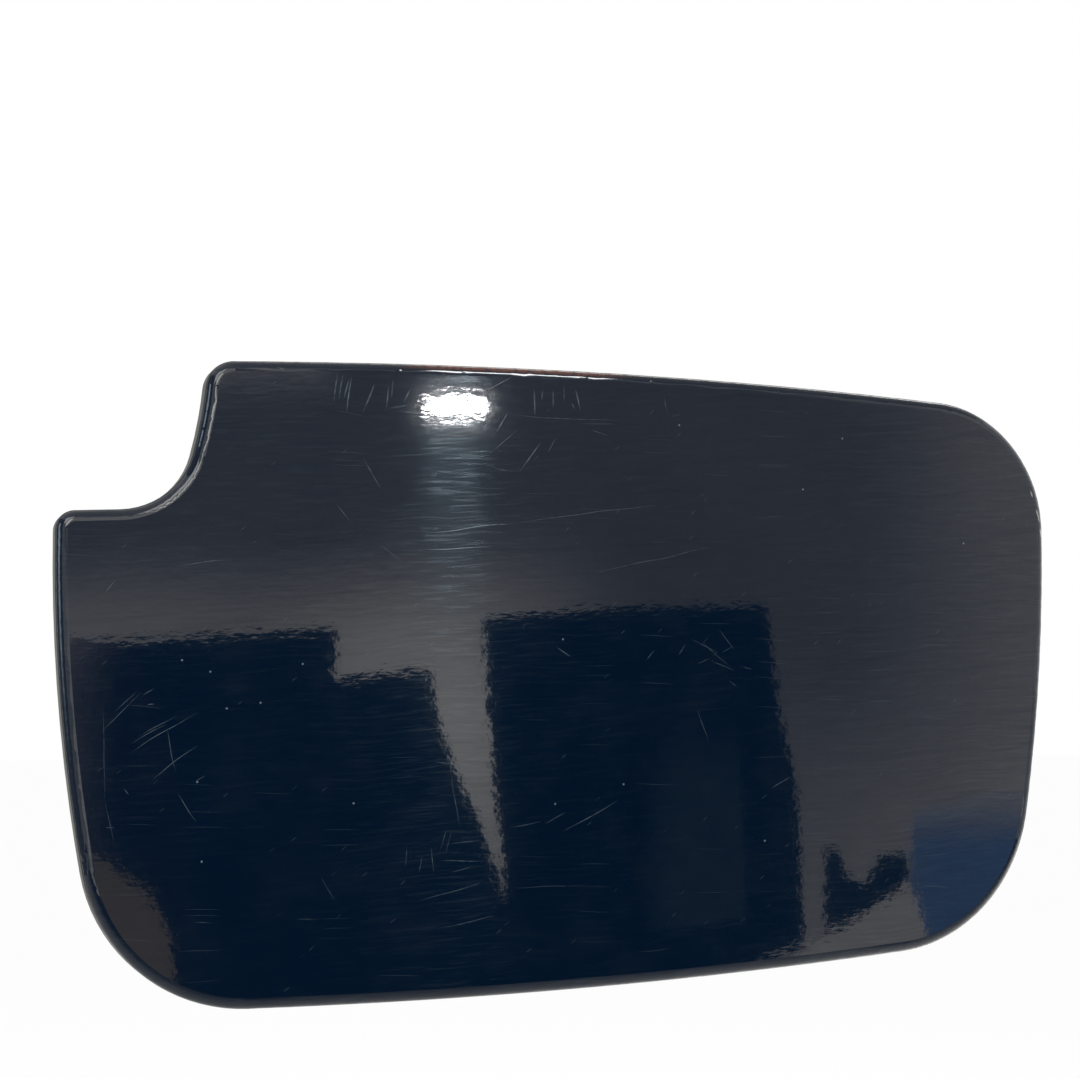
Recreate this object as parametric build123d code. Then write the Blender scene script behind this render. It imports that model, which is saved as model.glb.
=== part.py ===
from build123d import *
import os

# Fuel filler flap of a car with its sprung hinge: a painted outer panel, a ribbed inner frame
# snapped into it, two hinge arms turning on a pin, and the steel bracket that bolts to the body.
# The parts are drawn from the crown of the painted face: X to the hinge side, Y into the car, Z up.

# Painted outer panel, measured between the square corners before they are rounded
PANEL_LENGTH = 198.0
PANEL_HEIGHT = 116.1
TOP_FALL = 2.05
BOTTOM_RISE = 8.3
HINGE_EDGE_LEAN = 9.6
FREE_EDGE_LEAN = 11.4
NOTCH_LENGTH = 20.6
NOTCH_DEPTH = 27.1
NOTCH_LEAN = 5.9
TONGUE_FALL = 0.9
TOP_BOW = 2.3
HINGE_EDGE_BOW = 3.6
BOTTOM_BOW = 2.6
FREE_EDGE_BOW = 3.1
NOTCH_BOW = 1.2
NOTCH_TOP_R = 5.2
TOP_HINGE_R = 24.9
BOTTOM_HINGE_R = 32.1
BOTTOM_FREE_R = 29.7
TONGUE_R = 3.5
NOTCH_INNER_R = 13.8
CROWN_R = 1200.0
SKIN = 2.3
RIM_DEPTH = 6.0
EDGE_ROLL = 2.2
HOOK_LENGTH = 9.0
HOOK_REACH = 1.4
HOOK_THICK = 1.1
HOOK_PITCH = 45.0
FREE_HOOK_PITCH = 34.0
FREE_HOOK_Z = -3.0

# Inner frame, with flat pads for everything that is screwed or pressed into it
FRAME_THICK = 1.8
FRAME_GAP = 0.3
RIB_HEIGHT = 2.6
RIB_THICK = 1.6
RIB_PITCH = 27.0
RIB_ANGLE = 34.0
BORDER_WIDTH = 7.0
PAD_DEPTH = 10.0
SCREW_D = 3.4
SCREW_HEAD_D = 5.8
SCREW_HEAD_H = 2.0
SCREW_BITE = 4.2
PILOT_SPARE = 0.4
THREAD_CLEARANCE = 0.05
SCREW_CLEARANCE = 0.2

# Hinge pin, its place behind the panel and the parts stacked along it
HINGE_INSET = 12.9
HINGE_DEPTH = 11.5
HINGE_Z = 3.0
PIN_D = 4.0
PIN_HEAD_D = 7.4
PIN_HEAD_H = 2.0
RUNNING_CLEARANCE = 0.05
PRESS_CLEARANCE = 0.05
BUSH_WALL = 0.9
BUSH_FLANGE_D = 9.2
BUSH_FLANGE_T = 0.7
ARM_WIDTH = 7.0
ARM_EYE_R = 5.2
ARM_FOOT_T = 3.0
ARM_FOOT_LENGTH = 30.0
ARM_NECK = 10.0
ARM_SIDE_GAP = 0.3
ARM_EDGE_R = 0.6
SPRING_GAP = 28.0
SPRING_WIRE_D = 1.1
SPRING_MEAN_D = 6.3
SPRING_TURNS = 9
SPRING_SEAT_D = 8.2
SPRING_SEAT_DEPTH = 2.0
SPRING_SEAT_GAP = 0.1
SPRING_LOW_GAP = 3.0
LEG_CLEARANCE = 0.2
CLIP_D = 8.6
CLIP_THICK = 0.8
CLIP_GROOVE_D = 3.0
CLIP_GAP = 0.1

# Steel hinge bracket
BRACKET_T = 2.5
EAR_EYE_R = 5.0
BRACKET_STANDOFF = 13.5
BASE_LENGTH = 40.0
BASE_OVERHANG = 1.5
BASE_CORNER_R = 5.0
EAR_ROOT_LENGTH = 16.0
EAR_ROOT_INSET = 8.0
BEND_R = 2.0
BOLT_HOLE_D = 6.5
BOLT_SPACING = 30.0
BOLT_INSET = 32.0

# Lock striker, fuel cap cradle and rubber buffers
STRIKER_X = -70.0
STRIKER_Z = -2.0
STRIKER_LENGTH = 26.0
STRIKER_WIDTH = 22.0
STRIKER_T = 3.0
STRIKER_REACH = 17.0
LOCK_EYE_D = 8.0
STRIKER_GUSSET = 9.0
STRIKER_SCREW_OFFSET = 7.8
STRIKER_SCREW_PITCH = 11.0
CRADLE_X = -14.0
CRADLE_Z = 6.0
CRADLE_R = 19.0
CRADLE_WALL = 2.6
CRADLE_REACH = 13.0
CRADLE_LIP = 1.6
CRADLE_EDGE_R = 0.8
CRADLE_PLATE_T = 2.4
CRADLE_PLATE_H = 24.0
CRADLE_SCREW_SPAN = 54.0
BUFFER_D = 11.0
BUFFER_H = 5.0
BUFFER_STEM_D = 5.0
BUFFER_STEM_H = 2.6
BUFFER_END_INSET = 36.0
BUFFER_EDGE_INSET = 18.5
STEM_SPARE = 0.2
BUFFER_CLEARANCE = 0.05

# How far a cutter runs past the face it cuts
CUT_PAST = 1.0

# Outline of the painted panel, seen from outside, starting at the top of the notch
free_x = -PANEL_LENGTH / 2
hinge_x = PANEL_LENGTH / 2
top_z = PANEL_HEIGHT / 2
notch_top = (free_x + NOTCH_LENGTH + NOTCH_LEAN, top_z)
top_hinge = (hinge_x, top_z - TOP_FALL)
bottom_hinge = (hinge_x - HINGE_EDGE_LEAN, BOTTOM_RISE - top_z)
bottom_free = (free_x + FREE_EDGE_LEAN, -top_z)
notch_inner = (free_x + NOTCH_LENGTH, top_z - NOTCH_DEPTH)
tongue = (free_x, top_z - NOTCH_DEPTH - TONGUE_FALL)
top_side = SagittaArc(notch_top, top_hinge, TOP_BOW)
hinge_side = SagittaArc(top_hinge, bottom_hinge, HINGE_EDGE_BOW)
bottom_side = SagittaArc(bottom_hinge, bottom_free, BOTTOM_BOW)
free_side = SagittaArc(bottom_free, tongue, FREE_EDGE_BOW)
tongue_side = Line(tongue, notch_inner)
notch_side = SagittaArc(notch_inner, notch_top, -NOTCH_BOW)
corner_radii = {
    notch_top: NOTCH_TOP_R,
    top_hinge: TOP_HINGE_R,
    bottom_hinge: BOTTOM_HINGE_R,
    bottom_free: BOTTOM_FREE_R,
    tongue: TONGUE_R,
}


def side_disc(side, inset):
    """The disc that has one bowed side on its rim, made smaller by a distance."""
    seam_turn = Rot(0, 0, side.tangent_angle_at(0.5))
    return Pos(side.arc_center) * seam_turn * Circle(side.radius - inset)


def panel_shape(inset):
    """The panel's outline set in by a distance, every corner keeping its centre."""
    along_tongue = Pos(*notch_inner) * Rot(0, 0, tongue_side.tangent_angle_at(0.5))
    above_tongue = along_tongue * Pos(0, NOTCH_DEPTH - inset) * Rectangle(4 * NOTCH_LENGTH, 2 * NOTCH_DEPTH)
    shape = side_disc(top_side, inset) & side_disc(bottom_side, inset)
    shape = shape & side_disc(hinge_side, inset) & side_disc(free_side, inset)
    shape -= side_disc(notch_side, -inset) & above_tongue
    shape = fillet(shape.vertices().sort_by_distance(notch_inner)[0], NOTCH_INNER_R + inset)
    for corner, radius in corner_radii.items():
        if radius > inset:
            shape = fillet(shape.vertices().sort_by_distance(corner)[0], radius - inset)
    return shape


outline = panel_shape(0)
pivot_x = hinge_x - HINGE_INSET
frame_front = SKIN + FRAME_GAP
frame_back = frame_front + FRAME_THICK
screw_r = SCREW_D / 2
pin_r = PIN_D / 2
pilot_r = screw_r + THREAD_CLEARANCE
screw_hole_r = screw_r + SCREW_CLEARANCE


def prism_y(shape, y_from, y_to):
    """A flat shape drawn in X and Z, taken between two distances into the car."""
    return Pos(0, y_from, 0) * extrude(Plane.XZ * shape, y_from - y_to)


def crown_ball(depth):
    """The ball whose skin runs at one depth behind the painted face."""
    return Pos(0, CROWN_R, 0) * Sphere(CROWN_R - depth)


def crowned_layer(shape, front, back):
    """The part of a flat shape's column that lies between two depths behind the painted face."""
    column = prism_y(shape, -CUT_PAST, PANEL_HEIGHT / 2)
    return (column & crown_ball(front)) - crown_ball(back)


def disc_y(x, z, radius, y_from, y_to):
    return prism_y(Pos(x, z) * Circle(radius), y_from, y_to)


def screw(x, y_seat, z, bite):
    """Pan-head screw driven from the car side, its head seated at y_seat."""
    head_r = SCREW_HEAD_D / 2
    head = disc_y(x, z, head_r, y_seat, y_seat + SCREW_HEAD_H)
    head = fillet(head.faces().sort_by(Axis.Y)[-1].edges(), SCREW_HEAD_H * 0.45)
    slot = Box(head_r * 1.1, SCREW_HEAD_H, head_r * 0.25)
    cross = slot + Rot(0, 90, 0) * slot
    return head - Pos(x, y_seat + SCREW_HEAD_H, z) * cross + disc_y(x, z, screw_r, y_seat - bite, y_seat)


# Painted outer panel: crowned skin with a rolled edge, a rim behind it and snap hooks inside the rim
shell = crowned_layer(outline, 0, RIM_DEPTH)
shell = fillet(shell.faces().sort_by(Axis.Y)[0].edges(), EDGE_ROLL)
outer_panel = shell - crowned_layer(panel_shape(SKIN), SKIN, RIM_DEPTH + CUT_PAST)
hook_ring = panel_shape(SKIN) - panel_shape(SKIN + HOOK_REACH)
hook_front = frame_back + FRAME_GAP
hook_band = crowned_layer(hook_ring, hook_front, hook_front + HOOK_THICK)
for step in (-1, 0, 1):
    for edge_z in (-top_z, top_z):
        outer_panel += hook_band & Pos(step * HOOK_PITCH, 0, edge_z) * Box(HOOK_LENGTH, PANEL_HEIGHT, top_z)
for side in (-1, 1):
    hook_z = FREE_HOOK_Z + side * FREE_HOOK_PITCH / 2
    outer_panel += hook_band & Pos(free_x, 0, hook_z) * Box(top_z, PANEL_HEIGHT, HOOK_LENGTH)

# Inner frame: a thin plate behind the skin, stiffened by a lattice of ribs and cut clear of the hinge
arm_in = SPRING_GAP / 2
arm_out = arm_in + ARM_WIDTH
ear_in = arm_out + BUSH_FLANGE_T + ARM_SIDE_GAP
ear_out = ear_in + BRACKET_T
foot_end = pivot_x - ARM_NECK
foot_mid = foot_end - ARM_FOOT_LENGTH / 2
arm_z = (arm_in + arm_out) / 2
pad_end = foot_end - 2 * ARM_FOOT_T
pad_start = foot_end - ARM_FOOT_LENGTH
arm_screw_rows = [pad_start + SCREW_HEAD_D * 0.9, pad_end - SCREW_HEAD_D * 0.9]
arm_screw_points = [(x, HINGE_Z + side * arm_z) for x in arm_screw_rows for side in (-1, 1)]
striker_screw_x = STRIKER_X + STRIKER_SCREW_OFFSET
striker_screw_points = [(striker_screw_x, STRIKER_Z + side * STRIKER_SCREW_PITCH / 2) for side in (-1, 1)]
cradle_screw_points = [(CRADLE_X + side * CRADLE_SCREW_SPAN / 2, CRADLE_Z) for side in (-1, 1)]
buffer_x = hinge_x - BUFFER_END_INSET
buffer_z = top_z - BUFFER_EDGE_INSET
buffer_points = {
    "upper_free_buffer": (-buffer_x, buffer_z),
    "lower_free_buffer": (-buffer_x, -buffer_z),
    "upper_hinge_buffer": (buffer_x, buffer_z),
    "lower_hinge_buffer": (buffer_x, -buffer_z),
}


def frame_shape(inset):
    """Outline of the frame with its hinge recess, set in from the rim."""
    recess = Rectangle(PANEL_LENGTH, 2 * (ear_out + BUSH_FLANGE_D / 2 + inset))
    return panel_shape(SKIN + inset) - Pos(foot_end - inset + PANEL_LENGTH / 2, HINGE_Z) * recess


frame_outline = frame_shape(FRAME_GAP)
rib_field = frame_shape(BORDER_WIDTH)
lattice = rib_field - frame_shape(BORDER_WIDTH + RIB_THICK)
rib_count = int(hinge_x / RIB_PITCH) + 1
for step in range(-rib_count, rib_count + 1):
    for lean in (-RIB_ANGLE, RIB_ANGLE):
        lattice += Pos(step * RIB_PITCH, 0) * Rot(0, 0, lean) * Rectangle(PANEL_LENGTH, RIB_THICK) & rib_field
pads = Pos(STRIKER_X, STRIKER_Z) * Rectangle(STRIKER_LENGTH, STRIKER_WIDTH)
for side in (-1, 1):
    arm_pad = Rectangle(pad_end - pad_start, ARM_WIDTH)
    pads += Pos((pad_start + pad_end) / 2, HINGE_Z + side * arm_z) * arm_pad
for x, z in cradle_screw_points:
    pads += Pos(x, z) * Circle(SCREW_HEAD_D)
for x, z in buffer_points.values():
    pads += Pos(x, z) * Circle(BUFFER_D / 2)
frame_mid = (frame_front + frame_back) / 2
pad_block = prism_y(pads, 0, PAD_DEPTH) & crown_ball(frame_mid)
inner_frame = crowned_layer(frame_outline, frame_front, frame_back)
inner_frame += crowned_layer(lattice, frame_mid, frame_back + RIB_HEIGHT)
inner_frame += pad_block
for x, z in arm_screw_points + striker_screw_points + cradle_screw_points:
    inner_frame -= disc_y(x, z, pilot_r, PAD_DEPTH - SCREW_BITE - PILOT_SPARE, PAD_DEPTH + CUT_PAST)
stem_hole_r = BUFFER_STEM_D / 2 + BUFFER_CLEARANCE
for x, z in buffer_points.values():
    inner_frame -= disc_y(x, z, stem_hole_r, PAD_DEPTH - BUFFER_STEM_H - STEM_SPARE, PAD_DEPTH + CUT_PAST)

# Hinge arms: a foot screwed to the frame and an eye for the bush, the two of them mirror images
hinge_plane = Plane((0, 0, HINGE_Z))
bush_r = pin_r + RUNNING_CLEARANCE + BUSH_WALL
eye = Pos(pivot_x, HINGE_DEPTH) * Circle(ARM_EYE_R)
foot = Pos(foot_mid, PAD_DEPTH + ARM_FOOT_T / 2) * Rectangle(ARM_FOOT_LENGTH, ARM_FOOT_T)
neck_root = Pos(foot_end - ARM_FOOT_T, PAD_DEPTH + ARM_FOOT_T / 2) * Rectangle(2 * ARM_FOOT_T, ARM_FOOT_T)
side_view = foot + make_hull(eye.edges() + neck_root.edges())
upper_hinge_arm = Pos(0, 0, HINGE_Z + arm_in) * extrude(side_view, ARM_WIDTH)
upper_hinge_arm = fillet(upper_hinge_arm.faces().sort_by(Axis.Z)[-1].edges(), ARM_EDGE_R)
pin_place = Pos(pivot_x, HINGE_DEPTH, HINGE_Z)
up = (Align.CENTER, Align.CENTER, Align.MIN)
upper_hinge_arm -= pin_place * Pos(0, 0, arm_in) * Cylinder(bush_r + PRESS_CLEARANCE, ARM_WIDTH, align=up)
upper_hinge_arm -= pin_place * Pos(0, 0, arm_in) * Cylinder(SPRING_SEAT_D / 2, SPRING_SEAT_DEPTH, align=up)
for x, z in arm_screw_points:
    upper_hinge_arm -= disc_y(x, z, screw_hole_r, PAD_DEPTH - CUT_PAST, PAD_DEPTH + ARM_FOOT_T + CUT_PAST)
lower_hinge_arm = upper_hinge_arm.mirror(hinge_plane)

# Flanged bushes pressed into the two eyes from the outer side
bush_length = ARM_WIDTH - SPRING_SEAT_DEPTH
upper_bush = pin_place * Pos(0, 0, arm_out - bush_length) * Cylinder(bush_r, bush_length, align=up)
upper_bush += pin_place * Pos(0, 0, arm_out) * Cylinder(BUSH_FLANGE_D / 2, BUSH_FLANGE_T, align=up)
upper_bush -= pin_place * Cylinder(pin_r + RUNNING_CLEARANCE, 2 * ear_out, align=up)
lower_bush = upper_bush.mirror(hinge_plane)

# Hinge bracket: a folded steel plate with two ears that carry the pin
base_front = HINGE_DEPTH + BRACKET_STANDOFF
base_back = base_front + BRACKET_T
base_end = pivot_x - BASE_OVERHANG
bolt_x = pivot_x - BOLT_INSET
base = Pos(base_end - BASE_LENGTH / 2, HINGE_Z) * Rectangle(BASE_LENGTH, 2 * ear_out)
base = fillet(base.vertices().sort_by(Axis.X)[:2], BASE_CORNER_R)
hinge_bracket = prism_y(base, base_front, base_back)
ear_eye = Pos(pivot_x, HINGE_DEPTH) * Circle(EAR_EYE_R)
ear_root_x = pivot_x - EAR_ROOT_INSET - EAR_ROOT_LENGTH / 2
ear_root = Pos(ear_root_x, base_front + BRACKET_T / 2) * Rectangle(EAR_ROOT_LENGTH, BRACKET_T)
ear = extrude(make_hull(ear_eye.edges() + ear_root.edges()), BRACKET_T)
hinge_bracket += Pos(0, 0, HINGE_Z + ear_in) * ear
hinge_bracket += Pos(0, 0, HINGE_Z - ear_out) * ear
long_edges = hinge_bracket.edges().filter_by(Axis.X)
folds = [edge for edge in long_edges if abs(edge.center().Y - base_front) < RUNNING_CLEARANCE]
inner_folds = [edge for edge in folds if abs(edge.center().Z - HINGE_Z) < ear_in + RUNNING_CLEARANCE]
hinge_bracket = fillet(inner_folds, BEND_R)
hinge_bracket = fillet(hinge_bracket.edges().filter_by(Axis.X).group_by(Axis.Y)[-1], BEND_R)
hinge_bracket -= pin_place * Cylinder(pin_r + RUNNING_CLEARANCE, 3 * ear_out)
for side in (-1, 1):
    bolt_z = HINGE_Z + side * BOLT_SPACING / 2
    hinge_bracket -= disc_y(bolt_x, bolt_z, BOLT_HOLE_D / 2, base_front - CUT_PAST, base_back + CUT_PAST)

# Return spring: a coil round the pin, its top in the upper eye and its straight leg through the bracket
wire_r = SPRING_WIRE_D / 2
coil_low = SPRING_LOW_GAP - arm_in
coil_top = arm_in + SPRING_SEAT_DEPTH - SPRING_SEAT_GAP - wire_r
coil_height = coil_top - coil_low
coil_path = Rot(0, 0, 180) * Helix(coil_height / SPRING_TURNS, coil_height, SPRING_MEAN_D / 2)
coil_start = Plane(coil_path @ 0, z_dir=coil_path % 0)
coil = sweep(coil_start * Circle(wire_r), path=coil_path, is_frenet=True)
leg_length = base_back - HINGE_DEPTH
leg = extrude(coil_start * Circle(wire_r), -leg_length)
leg_hole = extrude(coil_start * Circle(wire_r + LEG_CLEARANCE), -leg_length - BRACKET_T)
coil_place = pin_place * Pos(0, 0, coil_low)
return_spring = coil_place * (coil + leg)
hinge_bracket -= coil_place * leg_hole

# Hinge pin with a flat head above the upper ear and a clip below the lower one
clip_place = pin_place * Pos(0, 0, -ear_out - CLIP_GAP - CLIP_THICK)
pin_low = ear_out + CLIP_THICK + PIN_HEAD_H
hinge_pin = pin_place * Pos(0, 0, -pin_low) * Cylinder(pin_r, pin_low + ear_out, align=up)
hinge_pin = chamfer(hinge_pin.faces().sort_by(Axis.Z)[0].edges(), pin_r * 0.25)
head = pin_place * Pos(0, 0, ear_out) * Cylinder(PIN_HEAD_D / 2, PIN_HEAD_H, align=up)
hinge_pin += fillet(head.faces().sort_by(Axis.Z)[-1].edges(), PIN_HEAD_H * 0.4)
groove_r = CLIP_GROOVE_D / 2
groove = Cylinder(PIN_D, CLIP_THICK + CLIP_GAP, align=up) - Cylinder(groove_r, PIN_D, align=up)
hinge_pin -= clip_place * Pos(0, 0, -CLIP_GAP / 2) * groove
clip_face = Circle(CLIP_D / 2) - Circle(groove_r + PRESS_CLEARANCE)
clip_face -= Pos(0, -CLIP_D / 2) * Rectangle(CLIP_GROOVE_D * 0.9, CLIP_D)
pin_clip = clip_place * extrude(clip_face, CLIP_THICK)

# Lock striker: a bent steel foot with an upright eye for the bolt of the lock
striker_foot = Pos(STRIKER_X, STRIKER_Z) * Rectangle(STRIKER_LENGTH, STRIKER_WIDTH)
striker_foot = fillet(striker_foot.vertices().sort_by(Axis.X)[-2:], STRIKER_T)
lock_striker = prism_y(striker_foot, PAD_DEPTH, PAD_DEPTH + STRIKER_T)
striker_end = STRIKER_X - STRIKER_LENGTH / 2
eye_depth = PAD_DEPTH + STRIKER_REACH - LOCK_EYE_D
upright_eye = Pos(eye_depth, STRIKER_Z) * Circle(LOCK_EYE_D)
upright_root = Pos(PAD_DEPTH + STRIKER_T / 2, STRIKER_Z) * Rectangle(STRIKER_T, STRIKER_WIDTH)
upright = make_hull(upright_eye.edges() + upright_root.edges())
upright -= Pos(eye_depth, STRIKER_Z) * Circle(LOCK_EYE_D / 2)
lock_striker += Pos(striker_end, 0, 0) * extrude(Plane.YZ * upright, STRIKER_T)
gusset_x = striker_end + STRIKER_T
gusset_y = PAD_DEPTH + STRIKER_T
gusset_foot = (gusset_x + STRIKER_GUSSET, gusset_y)
gusset_tip = (gusset_x, gusset_y + STRIKER_GUSSET)
gusset = make_face(Polyline((gusset_x, gusset_y), gusset_foot, gusset_tip, close=True))
for side in (-1, 1):
    gusset_z = STRIKER_Z + side * (STRIKER_WIDTH - STRIKER_T) / 2 - STRIKER_T / 2
    lock_striker += Pos(0, 0, gusset_z) * extrude(gusset, STRIKER_T)
for x, z in striker_screw_points:
    lock_striker -= disc_y(x, z, screw_hole_r, PAD_DEPTH - CUT_PAST, PAD_DEPTH + STRIKER_T + CUT_PAST)

# Cap cradle: a half ring with a lip that holds the fuel cap while the tank is filled
cradle_outer = CRADLE_R + CRADLE_WALL
plate_end = Pos(CRADLE_SCREW_SPAN / 2, 0) * Circle(SCREW_HEAD_D)
plate_ends = plate_end.edges() + (Rot(0, 0, 180) * plate_end).edges()
plate = make_hull(plate_ends + Circle(CRADLE_PLATE_H / 2).edges())
lower_half = Pos(0, -cradle_outer) * Rectangle(4 * cradle_outer, 2 * cradle_outer)
plate += Circle(cradle_outer) & lower_half
wall = (Circle(cradle_outer) - Circle(CRADLE_R)) & lower_half
lip = (Circle(cradle_outer) - Circle(CRADLE_R - CRADLE_LIP)) & lower_half
cradle_place = Pos(CRADLE_X, CRADLE_Z)
plate_back = PAD_DEPTH + CRADLE_PLATE_T
cradle_end = plate_back + CRADLE_REACH
cap_cradle = prism_y(cradle_place * plate, PAD_DEPTH, plate_back)
cap_cradle += prism_y(cradle_place * wall, PAD_DEPTH, cradle_end)
cap_cradle += prism_y(cradle_place * lip, cradle_end - CRADLE_WALL, cradle_end)
cap_cradle = fillet(cap_cradle.faces().sort_by(Axis.Y)[-1].edges(), CRADLE_EDGE_R)
for x, z in cradle_screw_points:
    cap_cradle -= disc_y(x, z, screw_hole_r, PAD_DEPTH - CUT_PAST, plate_back + CUT_PAST)

# Screws, one group for each thing they hold
arm_seat = PAD_DEPTH + ARM_FOOT_T
striker_seat = PAD_DEPTH + STRIKER_T
arm_bite = ARM_FOOT_T + SCREW_BITE
striker_bite = STRIKER_T + SCREW_BITE
cradle_bite = CRADLE_PLATE_T + SCREW_BITE
arm_screws = Compound([screw(x, arm_seat, z, arm_bite) for x, z in arm_screw_points])
striker_screws = Compound([screw(x, striker_seat, z, striker_bite) for x, z in striker_screw_points])
cradle_screws = Compound([screw(x, plate_back, z, cradle_bite) for x, z in cradle_screw_points])

parts = {
    "outer_panel": outer_panel,
    "inner_frame": inner_frame,
    "upper_hinge_arm": upper_hinge_arm,
    "lower_hinge_arm": lower_hinge_arm,
    "arm_screws": arm_screws,
    "upper_bush": upper_bush,
    "lower_bush": lower_bush,
    "lock_striker": lock_striker,
    "striker_screws": striker_screws,
    "cap_cradle": cap_cradle,
    "cradle_screws": cradle_screws,
    "hinge_bracket": hinge_bracket,
    "hinge_pin": hinge_pin,
    "pin_clip": pin_clip,
    "return_spring": return_spring,
}

# Rubber buffers pressed into the frame near its corners
for name, (x, z) in buffer_points.items():
    dome = disc_y(x, z, BUFFER_D / 2, PAD_DEPTH, PAD_DEPTH + BUFFER_H)
    dome = fillet(dome.faces().sort_by(Axis.Y)[-1].edges(), BUFFER_H * 0.4)
    parts[name] = dome + disc_y(x, z, BUFFER_STEM_D / 2, PAD_DEPTH - BUFFER_STEM_H, PAD_DEPTH)

# Hand the parts over with the origin in the middle of the bracket's bolt holes, on its mounting face
to_mount = Pos(-bolt_x, -base_back, -HINGE_Z)
os.makedirs("parts", exist_ok=True)
for name, solid in parts.items():
    export_step(to_mount * solid, f"parts/{name}.step")
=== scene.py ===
from math import radians

import bpy
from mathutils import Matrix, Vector


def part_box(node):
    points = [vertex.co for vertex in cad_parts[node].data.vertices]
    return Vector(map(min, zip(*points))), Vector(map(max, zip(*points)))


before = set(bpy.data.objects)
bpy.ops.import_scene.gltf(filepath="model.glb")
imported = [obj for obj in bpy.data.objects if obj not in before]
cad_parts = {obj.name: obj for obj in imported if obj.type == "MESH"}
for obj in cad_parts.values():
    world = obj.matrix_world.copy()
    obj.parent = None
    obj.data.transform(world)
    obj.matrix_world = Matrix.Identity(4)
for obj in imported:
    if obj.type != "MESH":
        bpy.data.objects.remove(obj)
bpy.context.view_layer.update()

# Hinge bracket: a steel plate folded into a U and dipped in black coating before it is bolted to the body.
# The coating is thin and slightly uneven. It has rubbed through along the folded edges and rusts there.


def start_material(name):
    """A new material: its node tree, its shader and the place on the piece in metres."""
    material = bpy.data.materials.new(name)
    material.use_nodes = True
    tree = material.node_tree
    place = tree.nodes.new("ShaderNodeTexCoord").outputs["Object"]
    return material, tree, tree.nodes["Principled BSDF"], place


def add_node(tree, kind, inputs=None, **settings):
    """One shader node with its settings and inputs filled in. An input given as a socket is linked."""
    made = tree.nodes.new(kind)
    for key, value in settings.items():
        setattr(made, key, value)
    fill_inputs(tree, made, inputs or {})
    return made


def fill_inputs(tree, made, inputs):
    """Sets or links the inputs of a node."""
    for key, value in inputs.items():
        if isinstance(value, bpy.types.NodeSocket):
            tree.links.new(value, made.inputs[key])
        else:
            made.inputs[key].default_value = value


def noise(tree, place, scale, detail=2.0, roughness=0.5):
    """Cloudy value from 0 to 1; scale counts its lumps along one unit of the place."""
    inputs = {"Vector": place, "Scale": scale, "Detail": detail, "Roughness": roughness}
    return add_node(tree, "ShaderNodeTexNoise", inputs).outputs["Fac"]


def spread(tree, value, low, high, to_low=0.0, to_high=1.0):
    """A value moved from one range to another with soft ends."""
    inputs = {"Value": value, "From Min": low, "From Max": high, "To Min": to_low, "To Max": to_high}
    made = add_node(tree, "ShaderNodeMapRange", inputs, interpolation_type="SMOOTHSTEP")
    return made.outputs["Result"]


def maths(tree, operation, first, second=0.0, third=0.0):
    """One sum worked out on shader values."""
    inputs = {0: first, 1: second, 2: third}
    return add_node(tree, "ShaderNodeMath", inputs, operation=operation).outputs["Value"]


def vector_math(tree, operation, first, second, output="Value"):
    """One vector operation worked out on shader values."""
    inputs = {0: first, 1: second}
    return add_node(tree, "ShaderNodeVectorMath", inputs, operation=operation).outputs[output]


def blend(tree, share, first, second):
    """One colour laid over another by a share."""
    made = add_node(tree, "ShaderNodeMix", {0: share, 6: first, 7: second}, data_type="RGBA")
    return made.outputs[2]


def bump(tree, height, distance, normal=None):
    """Surface relief of a height from 0 to 1, as deep as the distance in metres."""
    inputs = {"Height": height, "Distance": distance, "Strength": 1.0}
    if normal is not None:
        inputs["Normal"] = normal
    return add_node(tree, "ShaderNodeBump", inputs).outputs["Normal"]


def edge_share(tree, radius):
    """How near a point lies to a sharp edge: 1 on the edge and 0 further in than the radius."""
    rounded = add_node(tree, "ShaderNodeBevel", {"Radius": radius}, samples=6).outputs["Normal"]
    plain = add_node(tree, "ShaderNodeNewGeometry").outputs["Normal"]
    return spread(tree, vector_math(tree, "DOT_PRODUCT", rounded, plain), 0.99, 0.86)


def dress(material, *node_names):
    """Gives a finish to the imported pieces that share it."""
    for node_name in node_names:
        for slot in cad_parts[node_name].material_slots:
            slot.material = material


coating_dark = (0.009, 0.009, 0.010, 1)
coating_light = (0.024, 0.023, 0.022, 1)
worn_steel = (0.34, 0.33, 0.31, 1)
rust_brown = (0.085, 0.032, 0.013, 1)
coating_relief = 0.000012
wear_width = 0.0007

black_coating, tree, shader, place = start_material("black_coating")
cloud = noise(tree, place, 140, detail=4)
patches = noise(tree, place, 420, detail=5, roughness=0.6)
worn = maths(tree, "MULTIPLY", edge_share(tree, wear_width), spread(tree, patches, 0.42, 0.58))
rusted = spread(tree, noise(tree, place, 95, detail=8, roughness=0.65), 0.63, 0.70)
coated = blend(tree, cloud, coating_dark, coating_light)
with_rust = blend(tree, rusted, coated, rust_brown)
gloss = spread(tree, cloud, 0.3, 0.7, 0.34, 0.50)
fill_inputs(tree, shader, {
    "Base Color": blend(tree, worn, with_rust, worn_steel),
    "Metallic": worn,
    "Roughness": maths(tree, "ADD", gloss, maths(tree, "MULTIPLY", rusted, 0.3)),
    "Normal": bump(tree, noise(tree, place, 900, detail=3), coating_relief),
})
dress(black_coating, "hinge_bracket")

# Hinge pin, its clip and the return spring: drawn and turned steel without any coating.
# Drawing leaves fine lines along the wire, and old grease darkens the metal in patches.

drawn_bright = (0.56, 0.55, 0.53, 1)
drawn_dull = (0.30, 0.29, 0.27, 1)
old_grease = (0.055, 0.042, 0.028, 1)
draw_line_length = 0.004
draw_line_width = 0.00012
draw_line_depth = 0.000004

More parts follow.
